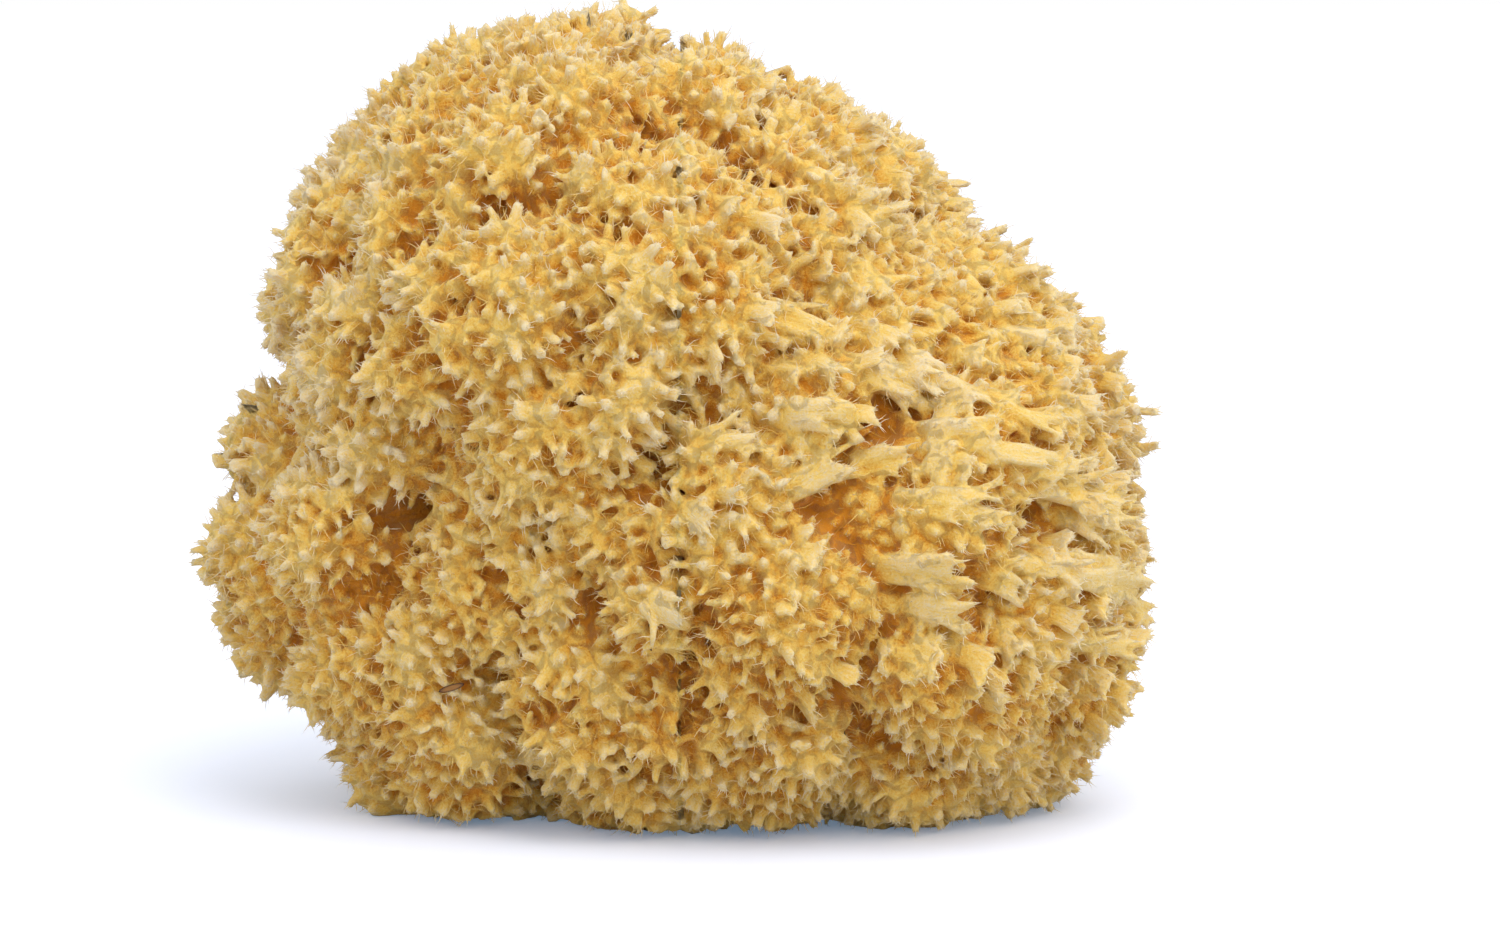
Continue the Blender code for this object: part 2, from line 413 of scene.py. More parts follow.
tuft_mesh = run_tree(
    skin_mesh, tree, "tuft_places", {"Spacing": TUFT_SPACING * MM, "Seed": 8}
)
tuft_places = points_of(tuft_mesh) / MM


def kd_tree(points):
    tree = KDTree(len(points))
    for i, point in enumerate(points):
        tree.insert(Vector(point), i)
    tree.balance()
    return tree


# Neighbours lean together at their roots, so that they stand in tufts of three to six.
tufts = kd_tree(tuft_places)
mates = np.array([tufts.find(Vector(p))[1] for p in places])
to_mate = tuft_places[mates] - places
pull = PULL[0] + (PULL[1] - PULL[0]) * smooth_step(-35, 10, places[:, 0])
pull *= 1 - 0.5 * smooth_step(85, 110, places[:, 2])
roots = places + to_mate * pull[:, None]
splay = -to_mate / TUFT_SPACING

# The net: ridges run from conule to conule, and a round pit lies between each three.
WEB_LIFT = 0.65
RIDGE_LIFT = 1.4
PIT_DEPTH = 1.5
GAP_DEPTH = 1.4
CREST_WIDTH = 1.2
PIT_WAVES = np.array([0.9, 0.53, 1.07])
CLOSED_SHARE = 0.45  # the pits are shallower on the crown and on the right

root_tree = kd_tree(roots)
near = np.array([[hit[2] for hit in root_tree.find_n(Vector(p), 3)] for p in bare_points])
openness = np.clip((near[:, 2] - near[:, 0]) / CONULE_SPACING, 0, 1.2)
crest = np.exp(-((near[:, 0] / CREST_WIDTH) ** 2))
wander = 2 * np.sin(bare_points[:, 0] * 0.7)
pitted = 0.5 + 0.5 * np.sin(bare_points @ PIT_WAVES + wander)
lift = WEB_LIFT + RIDGE_LIFT * (0.55 * openness + 0.45 * crest)
closed = np.maximum(smooth_step(60, 90, bare_points[:, 2]), smooth_step(15, 40, bare_points[:, 0]))
closed = 1 - CLOSED_SHARE * closed
lift -= closed * PIT_DEPTH * pitted * (1 - smooth_step(0.0, 0.32, openness))
lift -= closed * GAP_DEPTH * smooth_step(1.9, 3.6, near[:, 0])
lift *= 1 - smooth_step(2.5, 6.0, sink)
lift[on_cut] = 0
skin_points = HEART + directions * (reach + lift)[:, None]
skin_points[:, 2] = np.maximum(skin_points[:, 2], 0.0)
skin_mesh.vertices.foreach_set("co", (skin_points * MM).ravel())
skin_mesh.update()
skin = placed("bare_skin", skin_mesh)

# The conules
# Each conule is a short blunt brush of fibre strands, wide at its root in the net and
# ragged at its end. Those on the right are drawn out into flat combed fans.
HORN_LENGTH = 3.05
FAN_LENGTH = 5.6


def strand(shape, path, radii, sides=4):
    """Adds one closed strand of fibre along a path of points."""
    rings = []
    for i, (point, radius) in enumerate(zip(path, radii)):
        ahead = Vector(path[min(i + 1, len(path) - 1)]) - Vector(path[max(i - 1, 0)])
        axis = ahead.normalized()
        guide = Vector((0.31, 0.88, 0.36))
        across = (guide - axis * guide.dot(axis)).normalized()
        around = axis.cross(across)
        ring = []
        for k in range(sides):
            angle = 2 * math.pi * k / sides
            offset = (math.cos(angle) * across + math.sin(angle) * around) * float(radius)
            ring.append(shape.verts.new(Vector(point) + offset))
        rings.append(ring)
    for low, high in zip(rings, rings[1:]):
        for k in range(sides):
            j = (k + 1) % sides
            shape.faces.new((low[k], low[j], high[j], high[k]))
    shape.faces.new(rings[-1])
    shape.faces.new(list(reversed(rings[0])))


def spike(shape, foot, tip, radius, sides=3):
    """Adds one closed slim point."""
    axis = (Vector(tip) - Vector(foot)).normalized()
    across = axis.orthogonal().normalized()
    around = axis.cross(across)
    ring = []
    for k in range(sides):
        angle = 2 * math.pi * k / sides
        offset = (math.cos(angle) * across + math.sin(angle) * around) * float(radius)
        ring.append(shape.verts.new(Vector(foot) + offset))
    top = shape.verts.new(tip)
    for k in range(sides):
        shape.faces.new((ring[k], ring[(k + 1) % sides], top))
    shape.faces.new(list(reversed(ring)))


def as_mesh(name, shape, scale=MM):
    """Turns a shape in millimetres into a mesh in metres."""
    bmesh.ops.recalc_face_normals(shape, faces=shape.faces)
    mesh = bpy.data.meshes.new(name)
    shape.to_mesh(mesh)
    shape.free()
    mesh.transform(((scale, 0, 0, 0), (0, scale, 0, 0), (0, 0, scale, 0), (0, 0, 0, 1)))
    return mesh


def fray(shape, path, random, points=1, long=1.0):
    """Adds the points of loose fibre that stick out of a strand's end."""
    end, before = np.array(path[-1], float), np.array(path[-2], float)
    forward = (end - before) / np.linalg.norm(end - before)
    for _ in range(points):
        aside = random.normal(0, 0.42, 3)
        foot = end - forward * 0.5 + aside * 0.3
        tip = end + (forward + aside) * long * random.uniform(0.3, 0.9)
        spike(shape, foot, tip, random.uniform(0.13, 0.21))


def brush(name, random, length, prongs, spread, girth):
    """A round conule: a tent with a blunt end of a few prongs; and its frayed points."""
    body, points = bmesh.new(), bmesh.new()
    bow = random.normal(0, 0.3, 2)
    spine = [(bow[0] * s * s, bow[1] * s * s, s * length) for s in (-0.22, 0.12, 0.4, 0.7, 0.92)]
    strand(body, spine, np.array([1.6, 1.12, 0.96, 0.92, 0.8]) * girth, sides=6)
    turn = random.uniform(0, 2 * math.pi)
    for k in range(prongs):
        angle = turn + 2 * math.pi * (k + random.uniform(-0.25, 0.25)) / prongs
        x, y = math.cos(angle) * spread, math.sin(angle) * spread
        long = length * random.uniform(0.92, 1.08)
        path = [
            (0.5 * x + 0.4 * bow[0], 0.5 * y + 0.4 * bow[1], 0.62 * length),
            (x + bow[0], y + bow[1], long),
        ]
        strand(body, path, np.array([0.7, 0.6]) * girth)
        fray(points, path, random, points=2, long=0.45)
    return as_mesh(name, body), as_mesh(name + "_points", points)


def fan(name, random, length, strands, pitch):
    """A flat conule: strands side by side, longer than a brush's; and its frayed points."""
    body, points = bmesh.new(), bmesh.new()
    bow, sway = random.normal(0, 0.12, 2) * length
    for k in range(strands):
        x = (k - (strands - 1) / 2) * pitch
        y = random.uniform(-0.2, 0.2)
        long = length * random.uniform(0.78, 1.05)
        path = [
            (0.6 * x, y, -0.2 * length),
            (0.8 * x, y, 0.3 * long),
            (1.1 * x + 0.5 * sway, 1.3 * y + 0.5 * bow, 0.72 * long),
            (1.5 * x + sway, 2.2 * y + bow, long),
        ]
        strand(body, path, np.array([1.1, 0.8, 0.72, 0.58]))
        fray(points, path, random, points=2, long=0.6)
    return as_mesh(name, body), as_mesh(name + "_points", points)


random = np.random.default_rng(SEED + 5)
kinds = []
for i in range(4):
    kinds.append(brush(f"stub_{i}", random, HORN_LENGTH * 0.9, 2, 0.4, 0.95))
for i in range(6):
    kinds.append(brush(f"brush_{i}", random, HORN_LENGTH, 2 + i % 3, random.uniform(0.42, 0.7), 0.95))
for i in range(4):
    kinds.append(fan(f"fan_{i}", random, FAN_LENGTH, 5 + i % 2, 0.62))
for i in range(4):
    kinds.append(fan(f"crest_{i}", random, HORN_LENGTH, 3 + i % 2, 0.6))
STUBS, BRUSHES, FANS, CRESTS = 4, 6, 4, 4


def store_shapes(name, meshes):
    """Keeps the shapes that a tree picks from in a collection of their own."""
    store = bpy.data.collections.new(name)
    for i, mesh in enumerate(meshes):
        store.objects.link(bpy.data.objects.new(f"{name}_{i:02d}", mesh))
    return store


def clear_shapes(store):
    for holder in list(store.objects):
        bpy.data.objects.remove(holder, do_unlink=True)
    bpy.data.collections.remove(store)


tree, given, made = new_tree(
    "grow_conules",
    {"Shapes": ("NodeSocketCollection", None), "Surface": ("NodeSocketMaterial", None)},
)
parts = add_node(
    tree,
    "GeometryNodeCollectionInfo",
    {"Collection": given.outputs["Shapes"], "Separate Children": True, "Reset Children": True},
)
lean, across, size, pick = (
    add_node(tree, "GeometryNodeInputNamedAttribute", {"Name": label}, data_type=kind)
    for label, kind in zip(("lean", "across", "size", "pick"), ["FLOAT_VECTOR"] * 3 + ["FLOAT"])
)
upright = add_node(
    tree, "FunctionNodeAlignRotationToVector", {"Vector": lean.outputs["Attribute"]}, axis="Z"
)
turned = add_node(
    tree,
    "FunctionNodeAlignRotationToVector",
    {"Rotation": upright.outputs["Rotation"], "Vector": across.outputs["Attribute"]},
    axis="X",
    pivot_axis="Z",
)
number = add_node(tree, "FunctionNodeFloatToInt", {0: pick.outputs["Attribute"]})
planted = add_node(
    tree,
    "GeometryNodeInstanceOnPoints",
    {
        "Points": given.outputs["Geometry"],
        "Instance": parts.outputs["Instances"],
        "Pick Instance": True,
        "Instance Index": number.outputs[0],
        "Rotation": turned.outputs["Rotation"],
        "Scale": size.outputs["Attribute"],
    },
)
real = add_node(tree, "GeometryNodeRealizeInstances", {"Geometry": planted.outputs["Instances"]})
finish = add_node(
    tree,
    "GeometryNodeSetMaterial",
    {"Geometry": real.outputs["Geometry"], "Material": given.outputs["Surface"]},
)
tree.links.new(finish.outputs["Geometry"], made.inputs["Geometry"])
grow_tree = tree


def grow(name, points, shapes, surface, lean, across, size, pick, **extra):
    """Stands one of the shapes on each point, and joins them in one plain mesh."""
    ground = bpy.data.meshes.new(name + "_ground")
    ground.from_pydata((points * MM).tolist(), [], [])
    for label, values in {"lean": lean, "across": across, "size": size, "pick": pick, **extra}.items():
        write_attribute(ground, label, values)
    return run_tree(ground, grow_tree, name, {"Shapes": shapes, "Surface": surface})


def height_over_skin(points):
    """How far points stand out from the bare skin, along the line from the heart, and how far
    that skin lies under the sponge's masses there."""
    over, under = np.empty(len(points)), np.empty(len(points))
    for start in range(0, len(points), 40000):
        some = slice(start, start + 40000)
        away = points[some] - HEART
        far = np.linalg.norm(away, axis=1)
        away_unit = away / far[:, None]
        over[some] = far - skin_reach(away_unit, lobes) + SKIN_SINK
        under[some] = mass_reach(away_unit) - CONULE_SINK - far
    return over, under


def unit(vectors):
    return vectors / np.maximum(np.linalg.norm(vectors, axis=1), 1e-9)[:, None]


random = np.random.default_rng(SEED + 6)
n = len(places)
x, y, z = places.T
front = 1 - smooth_step(0, 25, y)
to_right = smooth_step(-5, 45, x) * front * smooth_step(12, 30, z)
sweep = np.stack([0.85 * to_right, 0 * x, -0.25 * to_right], axis=1)
is_fan = random.uniform(0, 1, n) < 0.22 * to_right
_, depth_down = height_over_skin(places)
in_crease = smooth_step(1.5, 5.0, depth_down)
lean_values = outward + 0.25 * splay + 0.75 * sweep + random.normal(0, 0.16, (n, 3))
lean_values += is_fan[:, None] * np.array([0.7, 0.0, -0.3])
lean_values = unit(lean_values)
low_tip = z + lean_values[:, 2] * HORN_LENGTH
lean_values[:, 2] = np.where(low_tip < 0.5, np.maximum(lean_values[:, 2], 0.0), lean_values[:, 2])
lean_values = unit(lean_values)
across_values = np.where(is_fan[:, None], np.cross(lean_values, outward), random.normal(0, 1, (n, 3)))
across_values = unit(across_values)
girth = random.uniform(0.68, 1.12, n) * (1 - 0.2 * in_crease)
height = random.uniform(0.7, 1.15, n) * (1 - 0.12 * to_right) * (1 - 0.4 * in_crease)
size_values = np.stack([girth, girth, height], axis=1)
stub_share = 1 - 0.8 * smooth_step(-50, 0, x)
pick_values = np.where(
    random.uniform(0, 1, n) < stub_share,
    random.integers(0, STUBS, n),
    STUBS + random.integers(0, BRUSHES, n),
)
is_crest = random.uniform(0, 1, n) < 0.25
pick_values = np.where(is_crest, STUBS + BRUSHES + FANS + random.integers(0, CRESTS, n), pick_values)
pick_values = np.where(is_fan, STUBS + BRUSHES + random.integers(0, FANS, n), pick_values)
planting = roots + outward * 0.7
horn_store = store_shapes("horns", [body for body, _ in kinds])
horn_field = grow(
    "horn_field", planting, horn_store, None, lean_values, across_values, size_values, pick_values
)
clear_shapes(horn_store)

# The plumes
# Long flat tongues of the felt on the front's right side, where the growing fibres were
# drawn out by the current. Each is given by where its root and its end are seen, across
# and down the picture, and by its width there.
PIXEL = 0.155
PICTURE_MIDDLE = 683
PICTURE_FOOT = 824
FOOT_DROP = 2.7
PLUME_LENGTH = 17.0
PLUMES = [
    (735, 302, 826, 340, 26), (845, 322, 895, 348, 20), (902, 328, 934, 350, 12),
    (798, 352, 846, 382, 16), (845, 362, 918, 400, 30), (900, 352, 932, 380, 20),
    (868, 352, 985, 410, 12), (765, 360, 808, 390, 14), (782, 412, 852, 420, 28),
    (845, 402, 890, 424, 18), (895, 400, 960, 420, 14), (920, 432, 993, 428, 12),
    (988, 400, 1054, 442, 18), (1035, 398, 1088, 440, 20), (995, 395, 1055, 384, 16),
    (985, 450, 1046, 464, 14), (1008, 474, 1088, 456, 14), (1000, 482, 1098, 494, 18),
    (672, 446, 765, 436, 16), (775, 500, 848, 446, 26), (822, 474, 904, 460, 24),
    (900, 508, 992, 504, 30), (872, 574, 958, 562, 26), (948, 570, 1012, 582, 22),
    (1005, 556, 1062, 578, 16), (1055, 520, 1152, 530, 14), (1050, 560, 1152, 566, 14),
    (1062, 582, 1166, 576, 16), (1085, 498, 1150, 512, 12), (1100, 600, 1154, 616, 12),
    (684, 508, 716, 534, 14), (728, 512, 770, 540, 14), (700, 492, 742, 498, 8),
    (1000, 330, 1060, 345, 12), (945, 345, 985, 362, 10), (640, 598, 690, 622, 24),
    (1085, 530, 1150, 548, 10), (1060, 640, 1135, 655, 16), (905, 610, 965, 600, 20),
]
sight = skin_points - VIEW_POINT
crossing = VIEW_POINT - sight * (VIEW_POINT[1] / sight[:, 1])[:, None]
seen_side = np.flatnonzero((skin_points[:, 1] < 6) & ~on_cut)
crossing_tree = KDTree(len(seen_side))
for i, k in enumerate(seen_side):
    crossing_tree.insert(Vector((crossing[k, 0], skin_points[k, 1] * 0.02, crossing[k, 2])), i)
crossing_tree.balance()


def upright_place(px, py):
    """Where the line of sight through a place in the picture crosses the plane of the heart."""
    return (px - PICTURE_MIDDLE) * PIXEL, (PICTURE_FOOT - py) * PIXEL - FOOT_DROP


def seen_at(px, py):
    """The skin's point, and its way out, that is seen at a place in the picture."""
    x, z = upright_place(px, py)
    k = seen_side[crossing_tree.find(Vector((x, -0.8, z)))[1]]
    return skin_points[k], directions[k]


random = np.random.default_rng(SEED + 9)
plume_body, plume_points = bmesh.new(), bmesh.new()
plume_axes = []
for x0, z0, x1, z1, wide in PLUMES:
    root, root_out = seen_at(x0, z0)
    shortened = min(1.0, PLUME_LENGTH / np.linalg.norm(seen_at(x1, z1)[0] - root)) ** 0.5
    x1, z1 = x0 + (x1 - x0) * shortened, z0 + (z1 - z0) * shortened
    middle, middle_out = seen_at((x0 + x1) / 2, (z0 + z1) / 2)
    end, end_out = seen_at(x1, z1)
    start, end = root - root_out * 0.8, end + end_out * 2.6
    knee = 2 * (middle + middle_out * 2.0) - (start + end) / 2
    along = unit((end - start)[None])[0]
    side = unit(np.cross(along, middle_out)[None])[0]
    long, width = np.linalg.norm(end - start), wide * PIXEL
    for core in (-0.3, 0.0, 0.3):
        path = []
        for s in (0, 0.22, 0.44, 0.62, 0.74):
            curve = (1 - s) ** 2 * start + 2 * s * (1 - s) * knee + s * s * end
            path.append(curve + side * core * width * (0.7 + 0.6 * s) - middle_out * 1.3)
        strand(plume_body, path, (1.3, 1.3, 1.1, 0.8, 0.4), sides=6)
    for k in range(max(4, round(long / 2.9 * max(1.0, width / 1.5)))):
        from_share = 0.0 if k < 2 else random.uniform(0.0, 0.5)
        to_share = min(from_share + random.uniform(0.42, 0.62), random.uniform(0.95, 1.08))
        lane = random.uniform(-0.6, 0.6) * width
        drift, free = random.normal(0, 1.4), random.uniform(-0.6, 1.8)
        wave, turn = random.uniform(0.1, 0.45), random.uniform(0, 6.28)
        level = random.normal(-0.1, 0.45)
        path = []
        for share in (0, 0.2, 0.4, 0.6, 0.8, 1.0):
            s = from_share + share * (to_share - from_share)
            curve = (1 - s) ** 2 * start + 2 * s * (1 - s) * knee + s * s * end
            gap = lane * (0.5 + 0.8 * s) + drift * share**2 + wave * math.sin(5 * s + turn)
            lifted = level + free * share**2 - 0.5 * (1 - share)
            path.append(curve + side * gap + middle_out * lifted)
        thick = random.uniform(0.75, 1.0)
        strand(plume_body, path, np.array([1.0, 0.98, 0.88, 0.78, 0.68, 0.52]) * thick, sides=6)
        fray(plume_points, path, random, points=3, long=0.7)
    steps = np.linspace(0.05, 1, 12)
    spine = [(1 - s) ** 2 * start + 2 * s * (1 - s) * knee + s * s * end for s in steps]
    for a, b in zip(spine, spine[1:]):
        plume_axes.append((a, unit((b - a)[None])[0], side, np.linalg.norm(a - start)))
plumes = bpy.data.objects.new("plumes", as_mesh("plumes", plume_body))
plume_points = as_mesh("plume_points", plume_points)
bpy.context.scene.collection.objects.link(plumes)

# The felt
# The strands and the skin are one felt, so they are joined into one closed surface and
# their corners are rounded off. The evening measures how deep a pit or a crevice is.
FUSE_SIZE = 0.41
ROUNDING = 5
EVENING = {"pit": (14, 0.8), "crevice": (110, 2.4)}
BODY_FACES = 500000

joined = placed("horn_field", horn_field)
tree, given, made = new_tree(
    "join_skin", {"Skin": ("NodeSocketObject", None), "Plumes": ("NodeSocketObject", None)}
)
both = add_node(tree, "GeometryNodeJoinGeometry")
tree.links.new(given.outputs["Geometry"], both.inputs["Geometry"])
for label in ("Skin", "Plumes"):
    other = add_node(tree, "GeometryNodeObjectInfo", {"Object": given.outputs[label]})
    tree.links.new(other.outputs["Geometry"], both.inputs["Geometry"])
tree.links.new(both.outputs["Geometry"], made.inputs["Geometry"])
join = joined.modifiers.new("join", "NODES")
join.node_group = tree
for socket in tree.interface.items_tree:
    if socket.name == "Skin":
        join[socket.identifier] = skin
    if socket.name == "Plumes":
        join[socket.identifier] = plumes
fuse = joined.modifiers.new("fuse", "REMESH")
fuse.mode = "VOXEL"
fuse.voxel_size = FUSE_SIZE * MM
rounding = joined.modifiers.new("rounding", "SMOOTH")
rounding.factor = 0.5
rounding.iterations = ROUNDING
fused = bpy.data.meshes.new_from_object(
    joined.evaluated_get(bpy.context.evaluated_depsgraph_get())
)
joined.modifiers.clear()
joined.data = fused
thin = joined.modifiers.new("thin", "DECIMATE")
thin.ratio = BODY_FACES / (2 * len(fused.polygons))
thin.use_collapse_triangulate = True
body_mesh = bpy.data.meshes.new_from_object(
    joined.evaluated_get(bpy.context.evaluated_depsgraph_get())
)
bpy.data.objects.remove(joined, do_unlink=True)
bpy.data.objects.remove(skin, do_unlink=True)
bpy.data.objects.remove(plumes, do_unlink=True)

corners = points_of(body_mesh) / MM
triangles = np.empty(len(body_mesh.polygons) * 3, int)
body_mesh.polygons.foreach_get("vertices", triangles)
triangles = triangles.reshape(-1, 3)
corners[:, 2] = np.maximum(corners[:, 2], 0.0)


over, under = height_over_skin(corners)
normals = np.empty(len(corners) * 3)
body_mesh.vertices.foreach_get("normal", normals)
evened = placed("evened", body_mesh)
cavity = {}
for scale, (steps, depth) in EVENING.items():
    evening = evened.modifiers.new("evening", "SMOOTH")
    evening.factor = 0.7
    evening.iterations = steps
    even_mesh = bpy.data.meshes.new_from_object(
        evened.evaluated_get(bpy.context.evaluated_depsgraph_get())
    )
    inward = ((points_of(even_mesh) / MM - corners) * normals.reshape(-1, 3)).sum(axis=1)
    cavity[scale] = np.clip(inward / depth, -1, 1)
    evened.modifiers.remove(evening)
bpy.data.objects.remove(evened, do_unlink=True)
# The colour level holds painted light. It is higher on the conules and plumes as a painted highlight. It
# is lower in pits, in crevices and deep under the masses as painted shade, and lower towards the bottom as
# painted shade. It is higher towards the left.
rise = 0.2 + 0.44 * smooth_step(-2.0, 5.0, over)
rise -= 0.26 * cavity["pit"] + 0.3 * np.maximum(cavity["crevice"], 0)
rise -= 0.25 * smooth_step(1.5, 7.0, under)
rise -= 0.09 * (1 - smooth_step(15.0, 75.0, corners[:, 2]))
rise += 0.1 * (1 - smooth_step(-62.0, -30.0, corners[:, 0]))

# The nearest strand's own directions, for the combed look: two stations on each conule's
# axis and a row of them along each plume.
stations, ways, sides_of, shifts = [], [], [], []
side_values = np.cross(lean_values, across_values)
conule_shift = np.stack([np.arange(n) * 7.31, np.arange(n) * 3.17, np.zeros(n)], axis=1)
for share in (0.2, 0.75):
    along = share * HORN_LENGTH * height
    stations.append(planting + lean_values * along[:, None])
    ways.append(lean_values)
    sides_of.append(across_values)
    shifts.append(conule_shift + np.outer(along, [0, 0, 1]))
plume_place, plume_way, plume_side, plume_run = (np.array(v) for v in zip(*plume_axes))
stations.append(plume_place)
ways.append(plume_way)
sides_of.append(plume_side)
shifts.append(np.outer(plume_run, [0, 0, 1]))
stations, ways, sides_of, shifts = (np.vstack(v) for v in (stations, ways, sides_of, shifts))
station_tree = kd_tree(stations)
owner = np.concatenate([np.arange(n), np.arange(n), np.full(len(plume_place), n)])
near_four = [station_tree.find_n(Vector(p), 4) for p in corners]
nearest = np.array([hits[0][1] for hits in near_four])
near_by = np.array([[hit[1] for hit in hits] for hits in near_four])
near_far = np.array([[hit[2] for hit in hits] for hits in near_four])
other = owner[near_by] != owner[nearest][:, None]
rival = np.where(other, near_far, near_far[:, 3:]).min(axis=1)
combed = smooth_step(0.1, 0.7, rival - near_far[:, 0])
nearest_lean = ways[nearest]
away = corners - stations[nearest]
across_side = np.cross(nearest_lean, sides_of[nearest])
strand_values = shifts[nearest] + np.stack(
    [
        (away * sides_of[nearest]).sum(axis=1),
        (away * across_side).sum(axis=1),
        (away * nearest_lean).sum(axis=1),
    ],
    axis=1,
)


# The whole surface is parted into four quarters like an orange's, each closed by walls
# that run in to the heart, so that no mesh is too large to handle.
QUARTERS = ("front_left", "front_right", "back_right", "back_left")

# Spongin is the horny protein of the fibres, dried and felted. It is matt and lets a little light
# through, which the shader's subsurface scattering gives. The cream of the tips is also a painted
# highlight and the amber of the hollows is painted shade, both set in the base colour. A fibre is about
# 0.03 mm thick, which is too fine to show here, so the matted grain is drawn at about 0.3 mm and the
# combed streaks at about 0.3 mm across and 2 mm long.
# BROWN and AMBER are painted shade in the pits, crevices and hollows, CREAM is the painted highlight of
# the tips, and STRAW is the felt's own colour.
BROWN = "#ca841a"
AMBER = "#dca63e"
STRAW = "#e7c464"
CREAM = "#e3d3b0"
MATTED_SCALE = 3000.0
PATCH_SCALE = 60.0
STREAK_SCALE = (3.4, 3.4, 0.55)
STREAK_HEIGHT = 0.35


def linear(hex_colour):
    """An sRGB hex colour as linear red, green, blue and alpha."""
    channels = [int(hex_colour[i : i + 2], 16) / 255 for i in (1, 3, 5)]
    straight = [c / 12.92 if c <= 0.04045 else ((c + 0.055) / 1.055) ** 2.4 for c in channels]
    return (*straight, 1.0)


def spongin(name, streaks=True, lighter=0.0):
    """Spongin fibre: straw, with painted shade making it amber and brown in the hollows and a painted
    highlight making it cream at the frayed tips.
    """
    material = bpy.data.materials.new(name)
    material.use_nodes = True
    tree = material.node_tree
    shader = tree.nodes["Principled BSDF"]
    rise = add_node(tree, "ShaderNodeAttribute", attribute_name="rise")
    place = add_node(tree, "ShaderNodeTexCoord")
    patch = add_node(
        tree,
        "ShaderNodeTexNoise",
        {"Vector": place.outputs["Object"], "Scale": PATCH_SCALE, "Detail": 4.0, "Roughness": 0.6},
    )
    level = add_node(
        tree,
        "ShaderNodeMath",
        {0: patch.outputs["Fac"], 1: 0.5, 2: -0.25 + lighter},
        operation="MULTIPLY_ADD",
    )
    level = add_node(
        tree, "ShaderNodeMath", {0: rise.outputs["Fac"], 1: level.outputs[0]}, operation="ADD"
    )
    matted = add_node(
        tree,
        "ShaderNodeTexNoise",
        {"Vector": place.outputs["Object"], "Scale": MATTED_SCALE, "Detail": 2.0, "Roughness": 0.7},
    )
    mottle = add_node(
        tree, "ShaderNodeMath", {0: matted.outputs["Fac"], 1: 0.9, 2: -0.45}, operation="MULTIPLY_ADD"
    )
    level = add_node(
        tree, "ShaderNodeMath", {0: level.outputs[0], 1: mottle.outputs[0]}, operation="ADD"
    )
    if streaks:
        strand = add_node(tree, "ShaderNodeAttribute", attribute_name="strand")
        combed = add_node(tree, "ShaderNodeAttribute", attribute_name="combed")
        drawn_out = add_node(
            tree, "ShaderNodeMapping", {"Vector": strand.outputs["Vector"], "Scale": STREAK_SCALE}
        )
        fibres = add_node(
            tree,
            "ShaderNodeTexNoise",
            {"Vector": drawn_out.outputs["Vector"], "Scale": 1.0, "Detail": 3.0, "Roughness": 0.65},
        )
        centred = add_node(
            tree, "ShaderNodeMath", {0: fibres.outputs["Fac"], 1: 0.5}, operation="SUBTRACT"
        )
        faded = add_node(
            tree, "ShaderNodeMath", {0: centred.outputs[0], 1: combed.outputs["Fac"]}, operation="MULTIPLY"
        )
        level = add_node(
            tree,
            "ShaderNodeMath",
            {0: faded.outputs[0], 1: 0.8, 2: level.outputs[0]},
            operation="MULTIPLY_ADD",
        )
        height = add_node(
            tree,
            "ShaderNodeMath",
            {0: matted.outputs["Fac"], 1: 0.6, 2: faded.outputs[0]},
            operation="MULTIPLY_ADD",
        )
        raised = add_node(
            tree,
            "ShaderNodeBump",
            {"Height": height.outputs[0], "Distance": STREAK_HEIGHT * MM, "Strength": 1.0},
        )
        tree.links.new(raised.outputs["Normal"], shader.inputs["Normal"])
    ramp = add_node(tree, "ShaderNodeValToRGB", {"Fac": level.outputs[0]})
    stops = ramp.color_ramp.elements
    stops[0].position, stops[0].color = 0.0, linear(BROWN)
    stops[1].position, stops[1].color = 1.0, linear(CREAM)
    stops.new(0.18).color = linear(AMBER)
    stops.new(0.52).color = linear(STRAW)
    tree.links.new(ramp.outputs["Color"], shader.inputs["Base Color"])
    shader.inputs["Roughness"].default_value = 0.8
    shader.inputs["Specular IOR Level"].default_value = 0.25
    shader.inputs["Sheen Weight"].default_value = 0.15
    shader.inputs["Subsurface Weight"].default_value = 0.5
    shader.inputs["Subsurface Radius"].default_value = (0.9, 0.85, 0.75)
    shader.inputs["Subsurface Scale"].default_value = 0.001
    return material


def without_flaps(faces):
    """Leaves out every two faces that lie back to back on the same three corners."""
    _, which, times = np.unique(np.sort(faces, axis=1), axis=0, return_inverse=True, return_counts=True)
    return faces[times[which.ravel()] == 1]


